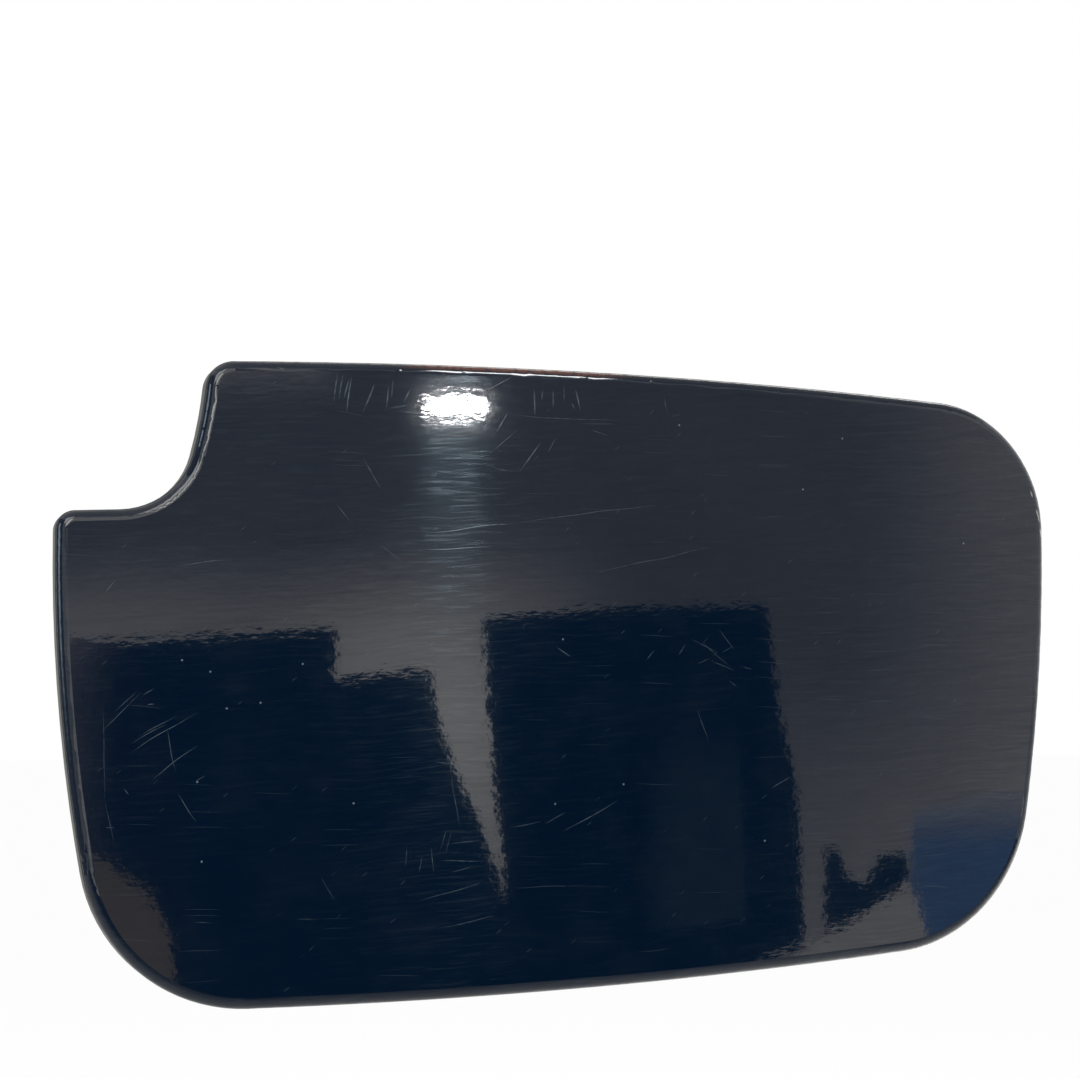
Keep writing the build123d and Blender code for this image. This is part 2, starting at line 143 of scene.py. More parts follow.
drawn_steel, tree, shader, place = start_material("drawn_steel")
drawn_out = {"Vector": place, "Scale": (draw_line_width, draw_line_width, draw_line_length)}
lines_place = add_node(tree, "ShaderNodeMapping", drawn_out, vector_type="TEXTURE").outputs["Vector"]
lines = noise(tree, lines_place, 1.0, detail=2)
greasy = spread(tree, noise(tree, place, 260, detail=5), 0.52, 0.68, 0.0, 0.75)
fill_inputs(tree, shader, {
    "Base Color": blend(tree, greasy, blend(tree, lines, drawn_dull, drawn_bright), old_grease),
    "Metallic": spread(tree, greasy, 0.0, 0.8, 1.0, 0.3),
    "Roughness": spread(tree, lines, 0.25, 0.75, 0.22, 0.42),
    "Normal": bump(tree, lines, draw_line_depth),
})
dress(drawn_steel, "hinge_pin", "pin_clip", "return_spring")

# Bushes: two flanged sleeves of white acetal pressed into the eyes of the arms.
# The plastic has yellowed a little, and grease from the pin has crept over the flanges.

acetal = (0.74, 0.73, 0.68, 1)
acetal_aged = (0.66, 0.61, 0.49, 1)
acetal_grain = 0.000006

white_acetal, tree, shader, place = start_material("white_acetal")
aged = spread(tree, noise(tree, place, 120, detail=4), 0.35, 0.7)
smeared = spread(tree, noise(tree, place, 380, detail=6, roughness=0.6), 0.56, 0.70, 0.0, 0.55)
fill_inputs(tree, shader, {
    "Base Color": blend(tree, smeared, blend(tree, aged, acetal, acetal_aged), old_grease),
    "Roughness": spread(tree, smeared, 0.0, 0.5, 0.42, 0.22),
    "Subsurface Weight": 0.08,
    "Subsurface Scale": 0.0008,
    "Normal": bump(tree, noise(tree, place, 1500, detail=2), acetal_grain),
})
dress(white_acetal, "upper_bush", "lower_bush")

# Hinge arms: two alloy die castings, mirror images of each other, left as they came out of the mould.
# The skin is dull and pebbled, darker in the hollows, and polished where edges have been handled.

cast_light = (0.52, 0.52, 0.51, 1)
cast_dark = (0.30, 0.30, 0.30, 1)
cast_polished = (0.66, 0.66, 0.65, 1)
cast_grain = 0.000018
cast_waves = 0.00006
polish_width = 0.0009

cast_alloy, tree, shader, place = start_material("cast_alloy")
flow = noise(tree, place, 75, detail=5, roughness=0.6)
pebbles = noise(tree, place, 1900, detail=3)
polished = maths(tree, "MULTIPLY", edge_share(tree, polish_width), spread(tree, flow, 0.35, 0.6))
skin = blend(tree, spread(tree, flow, 0.3, 0.7), cast_dark, cast_light)
dullness = spread(tree, pebbles, 0.3, 0.7, 0.44, 0.62)
fill_inputs(tree, shader, {
    "Base Color": blend(tree, polished, skin, cast_polished),
    "Metallic": 1.0,
    "Roughness": maths(tree, "SUBTRACT", dullness, maths(tree, "MULTIPLY", polished, 0.2)),
    "Normal": bump(tree, pebbles, cast_grain, bump(tree, flow, cast_waves)),
})
dress(cast_alloy, "upper_hinge_arm", "lower_hinge_arm")

# Inner frame and cap cradle: black plastic mouldings with a fine spark-eroded grain.
# The frame snaps behind the painted panel. Road dust has dried on both in soft grey clouds.

moulded_black = (0.0105, 0.0105, 0.0115, 1)
moulded_grey = (0.020, 0.020, 0.021, 1)
road_dust = (0.105, 0.097, 0.085, 1)
handled_grey = (0.05, 0.05, 0.052, 1)
handled_width = 0.0006
mould_grain_size = 0.00055
mould_grain_depth = 0.000022

black_moulding, tree, shader, place = start_material("black_moulding")
grain_inputs = {"Vector": place, "Scale": 1 / mould_grain_size}
grain = add_node(tree, "ShaderNodeTexVoronoi", grain_inputs, feature="SMOOTH_F1").outputs["Distance"]
cloud = noise(tree, place, 60, detail=6, roughness=0.62)
dusty = spread(tree, cloud, 0.48, 0.78, 0.03, 0.5)
handled = maths(tree, "MULTIPLY", edge_share(tree, handled_width), 0.35)
moulded = blend(tree, cloud, moulded_black, moulded_grey)
fill_inputs(tree, shader, {
    "Base Color": blend(tree, handled, blend(tree, dusty, moulded, road_dust), handled_grey),
    "Roughness": spread(tree, dusty, 0.0, 0.5, 0.46, 0.8),
    "Normal": bump(tree, grain, mould_grain_depth),
})
dress(black_moulding, "inner_frame", "cap_cradle")

# Lock striker and all the screws: steel with a thin zinc coat and a pale chromate tint over it.
# The tint drifts between yellow and blue, and white zinc salts bloom in spots.

zinc_yellow = (0.62, 0.59, 0.50, 1)
zinc_blue = (0.50, 0.53, 0.57, 1)
zinc_salt = (0.55, 0.55, 0.53, 1)
crystal_depth = 0.000006

zinc_plate, tree, shader, place = start_material("zinc_plate")
tint = spread(tree, noise(tree, place, 85, detail=3), 0.35, 0.65)
salty = spread(tree, noise(tree, place, 320, detail=7, roughness=0.65), 0.62, 0.70, 0.0, 0.8)
crystals = noise(tree, place, 1400, detail=4)
dullness = spread(tree, crystals, 0.3, 0.7, 0.26, 0.40)
fill_inputs(tree, shader, {
    "Base Color": blend(tree, salty, blend(tree, tint, zinc_yellow, zinc_blue), zinc_salt),
    "Metallic": spread(tree, salty, 0.0, 0.8, 1.0, 0.1),
    "Roughness": maths(tree, "ADD", dullness, maths(tree, "MULTIPLY", salty, 0.35)),
    "Normal": bump(tree, crystals, crystal_depth),
})
dress(zinc_plate, "lock_striker", "striker_screws", "arm_screws", "cradle_screws")

# Buffers: four soft rubber studs whose stems are pushed into the frame.
# The rubber is matt, a little cracked, and worn paler on the crown where it meets the body.

rubber_black = (0.014, 0.014, 0.014, 1)
rubber_bloom = (0.060, 0.058, 0.055, 1)
crack_spacing = 1 / 900
rubber_relief = 0.00002

buffer_rubber, tree, shader, place = start_material("buffer_rubber")
bloom = spread(tree, noise(tree, place, 170, detail=6, roughness=0.6), 0.42, 0.75, 0.0, 0.7)
cracks_inputs = {"Vector": place, "Scale": 1 / crack_spacing}
cracks = add_node(tree, "ShaderNodeTexVoronoi", cracks_inputs, feature="DISTANCE_TO_EDGE").outputs["Distance"]
rubber_skin = bump(tree, noise(tree, place, 1100, detail=3), rubber_relief)
fill_inputs(tree, shader, {
    "Base Color": blend(tree, bloom, rubber_black, rubber_bloom),
    "Roughness": spread(tree, bloom, 0.0, 0.7, 0.62, 0.85),
    "Normal": bump(tree, spread(tree, cracks, 0.0, 0.12), rubber_relief, rubber_skin),
})
dress(
    buffer_rubber,
    "upper_free_buffer",
    "lower_free_buffer",
    "upper_hinge_buffer",
    "lower_hinge_buffer",
)

# Outer panel: a crowned moulding in deep navy paint under a clear coat, with a rolled edge all round.
# Years of washing have left wipe marks, hairlines and scratches. The top edge is rubbed to the primer.

panel_low, panel_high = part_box("outer_panel")
panel_middle = (panel_low + panel_high) / 2
navy = (0.0003, 0.0050, 0.0155, 1)
navy_deep = (0.0002, 0.0042, 0.0135, 1)
wiped_film = (0.030, 0.032, 0.036, 1)
scratch_grey = (0.19, 0.235, 0.265, 1)
primer_red = (0.10, 0.030, 0.020, 1)
chip_white = (0.72, 0.70, 0.64, 1)
haze_dim = (0.28, 0.41, 0.47, 1)
haze_bright = (1.12, 1.48, 1.71, 1)

# The paint's patterns, in millimetres and degrees from level
peel_size = 1.9
ripple_length, ripple_width, ripple_angle = 4.2, 1.2, 4
wipe_length, wipe_width, wipe_angle = 40, 1.6, 5
grain_length, grain_width, grain_angle = 14, 0.55, 3
line_length, line_width, line_angle = 8, 0.55, 4
hairline_width = 0.16
rubbed_place, rubbed_reach = (-15, 57), 26
relief_depth = 0.0000050

# Scratches that stand out: start and end in millimetres right of and above the middle, then the depth
scratches = [
    ((-91, -9.5), (-84.5, -3), 0.40),
    ((-85.5, -13), (-74.5, -6), 0.60),
    ((-85.5, -11.5), (-79.5, -8), 0.45),
    ((-84.5, -10.5), (-78, -6.5), 0.40),
    ((-81.5, -18), (-74, -12), 0.55),
    ((-79.5, -9), (-77.5, -16.5), 0.45),
    ((-77, -20.5), (-74, -25), 0.50),
    ((-91, -4.5), (-90, -21.5), 0.25),
    ((-90, -21.5), (-88.5, -29), 0.30),
    ((-51.5, -35.5), (-49, -39.5), 0.30),
    ((-90.5, 15), (-89, 17), 0.60),
    ((-77.5, 20), (-69, 21), 0.40),
    ((-31, -15.5), (-27.5, -16), 0.35),
    ((-28, -18), (-26.5, -27), 0.40),
    ((-29, -32.5), (-28, -28), 0.30),
    ((-28, -30.5), (-22, -29.5), 0.40),
    ((-30, -33.5), (-21.5, -33.5), 0.50),
    ((-33.5, -40.5), (-22, -37.5), 0.40),
    ((-30, -45.5), (-19, -43.5), 0.40),
    ((-28, -35.5), (-24, -34.5), 0.35),
    ((-16.5, -27), (-11, -26), 0.35),
    ((-10, -26.5), (-6.5, -24.5), 0.40),
    ((-7, -28), (4, -22.5), 0.50),
    ((36, -20.5), (40, -18.5), 0.60),
    ((21, -5.5), (23, -11), 0.35),
    ((-16, -38.5), (-2, -38), 0.20),
    ((-7.5, 6), (-5, 4.5), 0.60),
    ((10, 4), (11.5, 6), 0.50),
    ((16.5, 5), (18, 7), 0.50),
    ((-44.5, 40.5), (-41, 35), 0.60),
    ((-49.5, 32), (-46.5, 28), 0.40),
    ((-41, 24), (-37.5, 21), 0.30),
    ((-32, 26.5), (-17, 29), 1.60),
    ((-32.5, 23.5), (-21, 24), 1.40),
    ((-17, 29), (13, 33.5), 0.35),
    ((-0.5, 20), (23, 25.5), 0.35),
    ((-19, 46), (-17, 50), 0.90),
    ((-19.5, 42.5), (-15, 47), 0.45),
    ((-17, 50), (5, 49.5), 0.35),
    ((-14.5, 39), (-10.5, 44.5), 1.00),
    ((-9, 42.5), (-7.5, 45.5), 0.45),
    ((-22.5, 40.5), (-15.5, 39), 0.35),
    ((-0.5, 47.5), (3, 46.5), 0.45),
    ((-20.5, 54), (-16, 57), 0.80),
    ((-36, -30.5), (-36.2, -34), 0.35),
    ((-31.7, -31), (-31.2, -35.5), 0.45),
    ((-29, -28), (-30, -31.5), 0.40),
    ((-33.2, -32.5), (-33.8, -35.5), 0.30),
    ((-55.5, -43), (-52, -43), 0.35),
    ((-74.5, -43), (-70.5, -43.2), 0.25),
    ((-87, -19.4), (-86, -20.5), 0.50),
    ((-90, -26.3), (-88.4, -26.4), 0.35),
    ((-74.5, -18.5), (-72.7, -17.4), 0.35),
    ((-88.7, -6), (-85.3, -3), 0.35),
    ((-84, -3.3), (-81.8, -2), 0.40),
    ((-83.2, -4.8), (-82, -4.6), 0.60),
    ((19.5, 8), (25, 5.3), 0.35),
    ((21.5, 7.6), (27.5, 2.4), 0.30),
    ((25, 9.5), (28.5, 5.7), 0.35),
    ((23.5, 3.8), (28.5, 1.5), 0.35),
    ((20.5, 3.2), (23, 4.2), 0.30),
    ((26, 5.3), (28, 6.2), 0.30),
    ((27.5, -0.4), (29, -1.3), 0.40),
    ((30, 2.4), (32, 2), 0.35),
    ((14.4, 54.3), (14.9, 51.3), 0.40),
    ((16, 51), (18, 51.5), 0.30),
]
scratch_half_width = 0.085
stroke_reach = 0.56

# Broad scuffs beside the top edge and white chips on the hinge edge, laid out the same way
scuffs = [
    ((-50, 50), (-49.5, 55.5), 0.6),
    ((-49, 50.5), (-48.5, 55.5), 0.5),
    ((-48, 51), (-47.3, 54.5), 0.7),
    ((-47.5, 48.5), (-46.8, 55), 0.8),
    ((-44.5, 49), (-42.5, 54.5), 0.7),
    ((-40.5, 50), (-40, 54), 0.6),
    ((-39.5, 52), (-39, 55.5), 0.5),
    ((-37, 51.5), (-35.5, 54), 0.6),
    ((-40, 50), (-36, 51), 0.4),
    ((-12, 54.8), (-11.7, 50.3), 0.7),
    ((-10.3, 54.8), (-10.5, 53), 0.4),
    ((-8.3, 54.8), (-8.3, 51.8), 0.5),
    ((-6, 55.8), (-6.2, 52.8), 0.4),
    ((-4.6, 52.8), (-4, 51.6), 0.5),
    ((-3.6, 55.3), (-2.8, 51.3), 0.7),
]
scuff_half_width = 0.16
chips = [
    ((96.3, 39.6), (96.8, 38.2), 0.35),
    ((97.5, 36), (98.1, 33.3), 0.8),
    ((98.2, 32), (98.4, 30.2), 0.8),
]
chip_half_width = 0.20

# Single specks of dust
specks = [
    (-77, 3),
    (-72, 1),
    (-55.5, 2.5),
    (-69, -5.5),
    (-63, -4.5),
    (-74, -18.5),
    (-73, -32.5),
    (-46, -22.5),
    (-6.5, 7.5),
    (5.5, -19.5),
    (-8, -23),
    (34.5, -30.5),
    (17.5, 49),
    (43.5, 37.5),
    (79.5, 28),
    (52.5, 48),
]
speck_size = 0.24

# How much of the grey each kind of mark shows
scratch_share = 0.65
scuff_share = 0.5
speck_share = 0.85
hairline_share = 0.10
nick_share = 0.18

navy_paint, tree, shader, place = start_material("navy_paint")


def split(tree, vector):
    """The three axes of a vector."""
    return add_node(tree, "ShaderNodeSeparateXYZ", {"Vector": vector}).outputs


centred = vector_math(tree, "SUBTRACT", place, panel_middle, "Vector")
parts = split(tree, centred)
millimetres = 1000.0
across = maths(tree, "MULTIPLY", parts["X"], millimetres)
upward = maths(tree, "MULTIPLY", parts["Z"], millimetres)
flat = add_node(tree, "ShaderNodeCombineXYZ", {"X": across, "Y": upward}).outputs["Vector"]
wander_inputs = {"Vector": flat, "Scale": 0.06, "Detail": 1.0}
wander = add_node(tree, "ShaderNodeTexNoise", wander_inputs, normalize=False).outputs["Color"]
swayed = {0: wander, 1: (0.8, 0.8, 0), 2: flat}
bent = add_node(tree, "ShaderNodeVectorMath", swayed, operation="MULTIPLY_ADD").outputs["Vector"]
broken = spread(tree, noise(tree, flat, 0.9, detail=3), 0.30, 0.58, 0.25, 1.0)


def marks(strokes, half_width):
    """The deepest of a list of strokes at each point. A stroke is a thin ellipse, so its ends taper."""
    deepest = 0.0
    for start, end, depth in strokes:
        middle = (Vector(start) + Vector(end)) / 2
        reach = (Vector(end) - Vector(start)) * stroke_reach
        lengthwise = reach / reach.length_squared
        crosswise = reach.orthogonal().normalized() / half_width
        from_middle = vector_math(tree, "SUBTRACT", bent, (*middle, 0), "Vector")
        along = vector_math(tree, "DOT_PRODUCT", from_middle, (*lengthwise, 0))
        beside = vector_math(tree, "DOT_PRODUCT", from_middle, (*crosswise, 0))
        outward = maths(tree, "MULTIPLY_ADD", beside, beside, maths(tree, "MULTIPLY", along, along))
        mark = maths(tree, "MULTIPLY_ADD", outward, -depth, depth)
        deepest = maths(tree, "MAXIMUM", mark, deepest)
    return maths(tree, "MULTIPLY", deepest, broken)


def dust(places, size):
    """Small round specks that fade from the middle out."""
    strongest = 0.0
    for speck in places:
        gap = vector_math(tree, "DISTANCE", flat, (*speck, 0))
        faded = maths(tree, "MULTIPLY_ADD", gap, -1 / size, 1.0)
        strongest = maths(tree, "MAXIMUM", faded, strongest)
    return strongest


def stretched(start, angle, length, width):
    """A place on the face drawn out along one angle, so that a pattern runs in streaks there."""
    turn = {"Vector": start, "Rotation": (0, 0, radians(angle)), "Scale": (length, width, 1)}
    return add_node(tree, "ShaderNodeMapping", turn, vector_type="TEXTURE").outputs["Vector"]


def hairlines(angle, length, kept):
    """Random short hairlines lying at one angle, with only a share of them kept."""
    inputs = {"Vector": stretched(bent, angle, length, hairline_width), "Scale": 1.0}
    cells = add_node(tree, "ShaderNodeTexVoronoi", inputs, voronoi_dimensions="2D")
    chance = add_node(tree, "ShaderNodeSeparateColor", {"Color": cells.outputs["Color"]}).outputs["Red"]
    chosen = spread(tree, chance, kept, 0.0)
    return maths(tree, "MULTIPLY", chosen, spread(tree, cells.outputs["Distance"], 0.42, 0.1))


def near(centre, radius):
    """How far inside a round place a point lies."""
    return spread(tree, vector_math(tree, "DISTANCE", flat, (*centre, 0)), radius, radius * 0.5)


def over(first, second, strength=1.0):
    """The stronger of two marks, the second one weakened first."""
    return maths(tree, "MAXIMUM", first, maths(tree, "MULTIPLY", second, strength))


# Every mark that shows as grey in the paint
deep = maths(tree, "MULTIPLY", marks(scratches, scratch_half_width), scratch_share)
deep = over(deep, marks(scuffs, scuff_half_width), scuff_share)
deep = over(deep, dust(specks, speck_size), speck_share)
deep = over(deep, hairlines(-1, 12.0, 0.015), hairline_share)
deep = over(deep, hairlines(40, 2.0, 0.003), nick_share)

# Wipe marks and fine grain, which dull the clear coat
wipe_place = stretched(bent, wipe_angle, wipe_length, wipe_width)
smudges = spread(tree, noise(tree, flat, 0.07, detail=5, roughness=0.65), 0.38, 0.72)
wipes = spread(tree, noise(tree, wipe_place, 1.0, detail=4, roughness=0.65), 0.40, 0.80)
wiped = maths(tree, "MULTIPLY", maths(tree, "MULTIPLY_ADD", wipes, 0.7, 0.3), smudges)
grain_place = stretched(bent, grain_angle, grain_length, grain_width)
grain = spread(tree, noise(tree, grain_place, 1.0, detail=3, roughness=0.6), 0.30, 0.70)
grained = maths(tree, "MULTIPLY", grain, spread(tree, noise(tree, flat, 0.035, detail=2), 0.35, 0.65))
clear = maths(tree, "MULTIPLY_ADD", grained, -0.17, spread(tree, wipes, 0.0, 1.0, 1.0, 0.84))
dulled = spread(tree, grain, 0.0, 1.0, 0.13, 0.20)

# Fine lines that light up in the haze below a lamp
line_place = stretched(bent, line_angle, line_length, line_width)
fine_lines = spread(tree, noise(tree, line_place, 1.0, detail=2, roughness=0.6), 0.50, 0.64)
lit_scratches = blend(tree, fine_lines, haze_dim, haze_bright)

# The colour: navy, the wiped film over it, the marks, the rubbed top edge and the chips
normal = add_node(tree, "ShaderNodeTexCoord").outputs["Normal"]
facing = split(tree, normal)
rubbed_length = near(rubbed_place, rubbed_reach)
rubbed = maths(tree, "MULTIPLY", spread(tree, facing["Z"], 0.35, 0.75), rubbed_length)
painted = blend(tree, noise(tree, flat, 0.05, detail=3), navy_deep, navy)
painted = blend(tree, maths(tree, "MULTIPLY", wiped, 0.12), painted, wiped_film)
painted = blend(tree, deep, painted, scratch_grey)
painted = blend(tree, maths(tree, "MULTIPLY", rubbed, broken), painted, primer_red)
painted = blend(tree, marks(chips, chip_half_width), painted, chip_white)

# Peel and ripples in the clear coat, which fade out on the rolled edge
ripple_place = stretched(flat, ripple_angle, ripple_length, ripple_width)
ripples = noise(tree, ripple_place, 1.0, detail=2, roughness=0.6)
peel = noise(tree, flat, 1 / peel_size, detail=2.0)
face_share = spread(tree, facing["Y"], -0.985, -0.995, 0.1, 1.0)
uneven = maths(tree, "MULTIPLY_ADD", ripples, 0.8, peel)
relief = bump(tree, maths(tree, "MULTIPLY", uneven, face_share), relief_depth)
upright = add_node(tree, "ShaderNodeCombineXYZ", {"Z": 1.0}).outputs["Vector"]
fill_inputs(tree, shader, {
    "Base Color": painted,
    "Roughness": dulled,
    "Specular IOR Level": 0.065,
    "Specular Tint": lit_scratches,
    "Anisotropic": 1.0,
    "Tangent": upright,
    "Coat Weight": clear,
    "Coat Roughness": 0.035,
    "Coat IOR": 1.5,
    "Coat Normal": relief,
    "Normal": relief,
})
dress(navy_paint, "outer_panel")

# Studio: a white surround, a pale floor well below the flap, one small lamp and two large soft ones.
# A graded wall and plain boards stand around the flap only for the paint to mirror.

floor_level = -0.32
floor_size = 40.0
floor_pale = (0.9, 0.9, 0.89, 1)
white_share = 0.92
bpy.ops.object.select_all(action="DESELECT")
bpy.ops.mesh.primitive_plane_add(size=floor_size, location=(0, 0, floor_level))
floor = bpy.context.object
floor.name = "floor"
pale_floor, tree, shader, _ = start_material("pale_floor")
fill_inputs(tree, shader, {"Base Color": floor_pale, "Roughness": 0.9})
seen = add_node(tree, "ShaderNodeLightPath").outputs["Is Camera Ray"]
white = add_node(tree, "ShaderNodeEmission", {"Color": (1, 1, 1, 1), "Strength": 1.0}).outputs["Emission"]
layers = {0: maths(tree, "MULTIPLY", seen, white_share), 1: shader.outputs["BSDF"], 2: white}
mixed = add_node(tree, "ShaderNodeMixShader", layers).outputs["Shader"]
tree.links.new(mixed, tree.nodes["Material Output"].inputs["Surface"])
floor.data.materials.append(pale_floor)

surround = bpy.data.worlds.new("white_surround")
bpy.context.scene.world = surround
surround.use_nodes = True
tree = surround.node_tree
rays = add_node(tree, "ShaderNodeLightPath").outputs
shown = maths(tree, "MAXIMUM", rays["Is Camera Ray"], rays["Is Transmission Ray"])
shown = maths(tree, "MAXIMUM", shown, rays["Is Glossy Ray"])
level = spread(tree, shown, 0.0, 1.0, 0.8, 1.0)
fill_inputs(tree, tree.nodes["Background"], {"Color": (1, 1, 1, 1), "Strength": level})


def board(name, corners, material):
    """A flat board seen only in mirror reflections, given by its corners in turn."""
    bpy.ops.object.select_all(action="DESELECT")
    bpy.ops.mesh.primitive_circle_add(vertices=len(corners), fill_type="NGON")
    made = bpy.context.object
    made.name = name
    for vertex, corner in zip(made.data.vertices, corners):
        vertex.co = corner
    made.data.materials.append(material)
    made.visible_camera = False
    made.visible_diffuse = False
    made.visible_transmission = False
    made.visible_volume_scatter = False
    made.visible_shadow = False


board_depth = -1.0


def front_board(name, material, *corners, depth=board_depth):
    """A board facing the flap, its corners given across and up."""
    board(name, [(side, depth, up) for side, up in corners], material)


def glow(name, colour, strength=1.0):
    """A plain emitting material with its tree and emitter."""
    material = bpy.data.materials.new(name)
    material.use_nodes = True
    tree = material.node_tree
    emitter = add_node(tree, "ShaderNodeEmission", {"Color": colour, "Strength": strength})
    tree.links.new(emitter.outputs["Emission"], tree.nodes["Material Output"].inputs["Surface"])
    return material, tree, emitter


def board_place(tree):
    """The place on a board in metres."""
    return tree.nodes.new("ShaderNodeTexCoord").outputs["Object"]


# The graded wall: an even level, a soft window spot and bands that rise to the sides
wall_depth = -1.02
wall_top = 0.9
window_place = (0.160, wall_depth, -0.02)
wall_level = 0.47
graded, tree, emitter = glow("graded_wall", (1.0, 0.95, 0.88, 1))
place = board_place(tree)
parts = split(tree, place)
window_light = spread(tree, vector_math(tree, "DISTANCE", place, window_place), 0.25, 0.0, 0.0, 1.2)
left_share = spread(tree, parts["X"], 0.32, 0.08)
band_light = maths(tree, "MULTIPLY", spread(tree, parts["Z"], 0.16, 0.05, 0.0, 0.9), left_share)
corner_share = spread(tree, parts["X"], 0.06, 0.0)
top_light = maths(tree, "MULTIPLY", spread(tree, parts["Z"], 0.27, 0.36, 0.0, 1.6), corner_share)
side_light = spread(tree, parts["X"], 0.57, 1.0, 0.0, 0.85)
low_light = spread(tree, parts["Z"], 0.10, -0.25, 0.0, 0.6)
level = wall_level
for part in (window_light, band_light, top_light, side_light, low_light):
    level = maths(tree, "ADD", part, level)
tree.links.new(level, emitter.inputs["Strength"])
wall_corners = [(-0.7, floor_level), (1.5, floor_level), (1.5, wall_top), (-0.7, wall_top)]
front_board("graded_wall", graded, *wall_corners, depth=wall_depth)

# Dark, dim and warm boards on the left of the mirror image
near_depth = -0.99
middle_depth = -0.995
dark = glow("dark_board", (0.02, 0.05, 0.08, 1), 0.4)[0]
left_edge = [(-0.176, 0.052), (-0.178, -0.03), (-0.185, -0.10), (-0.193, -0.126)]
floor_edge = [(-0.163, -0.147), (-0.132, -0.170), (-0.114, -0.21), (-0.105, -0.26), (-0.100, floor_level)]
front_board("left_board", dark, (0.03, floor_level), (0.03, 0.067), *left_edge, *floor_edge)
dim, tree, emitter = glow("dim_board", (0.42, 0.37, 0.36, 1))
parts = split(tree, board_place(tree))
dim_light = maths(tree, "ADD", spread(tree, parts["Z"], 0.005, 0.075, 0.0, 1.1), 1.0)
dim_light = maths(tree, "MULTIPLY", dim_light, spread(tree, parts["X"], -0.155, -0.225, 0.04, 1.0))
tree.links.new(dim_light, emitter.inputs["Strength"])
dim_corners = [(-0.5, floor_level), (-0.5, 0.070), (-0.155, 0.052), (-0.1, -0.1), (-0.1, floor_level)]
front_board("dim_board", dim, *dim_corners, depth=middle_depth)
warm = glow("warm_board", (0.66, 0.52, 0.34, 1))[0]
warm_corners = [(-0.5, floor_level), (-0.5, -0.13), left_edge[-1], *floor_edge]
front_board("warm_board", warm, *warm_corners, depth=near_depth)

# Dark boards in the middle, with a faint pane on the larger one
slant_top = [(0.121, 0.030), (0.130, -0.02), (0.146, -0.065)]
slant_foot = [(0.170, -0.11), (0.187, -0.155), (0.199, -0.19), (0.25, floor_level)]
front_board("slanted_board", dark, (0.03, floor_level), (0.03, 0.020), *slant_top, *slant_foot)
centre_foot = [(0.225, -0.30), (0.199, -0.19), (0.194, -0.138)]
centre_left = [(0.186, -0.085), (0.178, 0.0), (0.174, 0.079)]
centre_right = [(0.486, 0.099), (0.50, 0.0), (0.522, -0.09), (0.535, -0.239), (0.455, -0.262)]
front_board("centre_board", dark, *centre_foot, *centre_left, (0.318, 0.092), *centre_right)
pane, tree, emitter = glow("pane_board", (0.075, 0.105, 0.105, 1))
parts = split(tree, board_place(tree))
pane_height = spread(tree, parts["Z"], -0.02, -0.09, 0.25, 1.0)
pane_light = maths(tree, "MULTIPLY", pane_height, spread(tree, parts["X"], 0.32, 0.38))
tree.links.new(pane_light, emitter.inputs["Strength"])
pane_corners = [(0.32, -0.02), (0.445, -0.015), (0.458, -0.215), (0.325, -0.22)]
front_board("pane_board", pane, *pane_corners, depth=near_depth)

# A bright, a small dark and a blue board low on the right
bright = glow("bright_board", (1.0, 0.94, 0.86, 1), 1.6)[0]
low_edge = [(0.66, -0.194), (0.62, -0.213), (0.583, -0.226), (0.535, -0.243)]
low_corner = (0.672, -0.185)
low_foot = [(0.45, floor_level), (0.78, floor_level), (0.70, -0.235)]
front_board("low_board", bright, *low_foot, low_corner, *low_edge)
small_left = [(0.56, -0.232), (0.56, -0.15), (0.575, -0.15), (0.59, -0.180)]
small_right = [(0.614, -0.188), (0.632, -0.16), (0.668, -0.157)]
front_board("small_board", dark, *small_left, *small_right, low_corner, *low_edge[:3])
sky_blue = (0.33, 0.57, 1.1, 1)
blue, tree, emitter = glow("blue_board", sky_blue)
parts = split(tree, board_place(tree))
paler = blend(tree, spread(tree, parts["Z"], -0.16, -0.09), sky_blue, (1.2, 1.15, 1.15, 1))
tree.links.new(paler, emitter.inputs["Color"])
blue_top = [(0.95, -0.09), (0.747, -0.10), (0.674, -0.115)]
blue_foot = [(0.73, floor_level), (0.95, floor_level)]
front_board("blue_board", blue, *blue_foot, *blue_top, low_corner, depth=middle_depth)

# Boards beside, above, below and behind the flap, mirrored by the rolled edge alone
shade = glow("shade_board", (0.25, 0.25, 0.23, 1))[0]
back_depth = 0.7
back_foot = [(-0.9, back_depth, floor_level), (1.3, back_depth, floor_level)]
board("back_board", [*back_foot, (1.3, back_depth, wall_top), (-0.9, back_depth, wall_top)], shade)
side_place = -1.1
side_foot = [(side_place, -0.7, floor_level), (side_place, 0.7, floor_level)]
board("side_board", [*side_foot, (side_place, 0.7, wall_top), (side_place, -0.7, wall_top)], shade)
room_corners = [(-1, -1), (1.4, -1), (1.4, 0.7), (-1, 0.7)]
ceiling_level = 1.15
ceiling, tree, emitter = glow("ceiling_board", (1.0, 0.98, 0.92, 1))
parts = split(tree, board_place(tree))
tree.links.new(spread(tree, parts["X"], -0.6, 0.5, 0.85, 0.45), emitter.inputs["Strength"])
board("ceiling_board", [(*corner, ceiling_level) for corner in room_corners], ceiling)
ground_level = -0.31
ground, tree, emitter = glow("ground_board", (1.0, 0.98, 0.94, 1))
parts = split(tree, board_place(tree))
ground_light = spread(tree, parts["Y"], -0.75, 0.0, 0.08, 0.85)
ground_light = maths(tree, "MULTIPLY", ground_light, spread(tree, parts["X"], -0.1, 0.5, 0.9, 1.6))
tree.links.new(ground_light, emitter.inputs["Strength"])
board("ground_board", [(*corner, ground_level) for corner in room_corners], ground)
window_blue, tree, emitter = glow("window_blue", (0.72, 0.88, 1.0, 1))
parts = split(tree, board_place(tree))
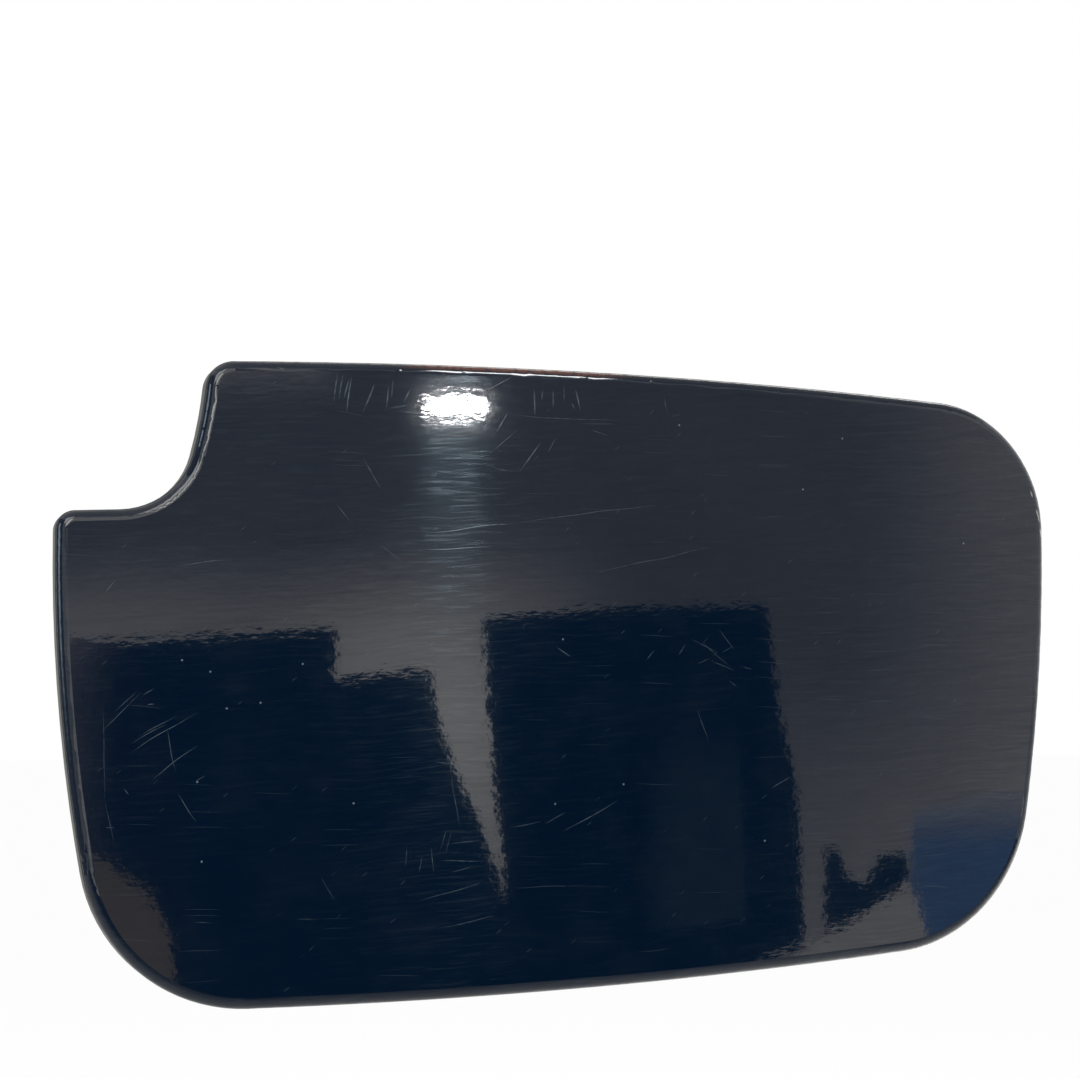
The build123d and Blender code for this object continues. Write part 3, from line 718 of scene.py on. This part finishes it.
tree.links.new(spread(tree, parts["Z"], -0.20, 0.15, 0.3, 4.0), emitter.inputs["Strength"])
pane_side = -1.05
window_foot = [(pane_side, -0.2, -0.2), (pane_side, 0.08, -0.2)]
board("side_window", [*window_foot, (pane_side, 0.08, 0.45), (pane_side, -0.2, 0.45)], window_blue)
upper_glow = glow("upper_glow", (1.0, 0.96, 0.9, 1), 8.0)[0]
front_board("upper_glow", upper_glow, (-0.68, 0.30), (-0.40, 0.68), (-0.29, 0.60), (-0.57, 0.20))
lamp_level = 1.1
ceiling_glow = glow("ceiling_glow", (1, 1, 1, 1), 26.0)[0]
lamp_corners = [(0.20, -0.78), (0.44, -0.78), (0.44, -1.05), (0.20, -1.05)]
board("ceiling_lamp", [(*corner, lamp_level) for corner in lamp_corners], ceiling_glow)


def area_light(name, centre, target, size, power, shape="RECTANGLE"):
    """A flat lamp at a place, turned to face a target."""
    bpy.ops.object.light_add(type="AREA", location=centre)
    lamp = bpy.context.object
    lamp.name = name
    lamp.rotation_euler = (Vector(target) - Vector(centre)).to_track_quat("-Z", "Y").to_euler()
    lamp.data.shape = shape
    lamp.data.size, lamp.data.size_y = size
    lamp.data.energy = power


lamp_place = (0.138, -0.95, 0.266)
lamp_target = (-0.081, -0.026, 0.0485)
area_light("round_lamp", lamp_place, lamp_target, size=(0.058, 0.0085), power=0.95, shape="ELLIPSE")
area_light("soft_key", (-0.75, -0.9, 0.95), panel_middle, size=(0.8, 0.8), power=9.0)
area_light("soft_back", (0.55, 0.95, 0.85), panel_middle, size=(0.9, 0.9), power=9.0)

# Camera: stands a little left of the flap and just below its middle, as in the photograph.
# Its place, aim and lens were fitted to the outline of the panel there.

camera_place = (-0.188, -0.4065, -0.0111)
camera_aim = (-0.06497, -0.0275, 0.02381)
bpy.ops.object.camera_add(location=camera_place)
camera = bpy.context.object
camera.rotation_euler = (Vector(camera_aim) - Vector(camera_place)).to_track_quat("-Z", "Y").to_euler()
camera.data.sensor_fit = "HORIZONTAL"
camera.data.sensor_width = 36.0
camera.data.lens = 71.4
camera.data.clip_start = 0.01
bpy.context.scene.camera = camera
bpy.context.scene.view_settings.view_transform = "Standard"
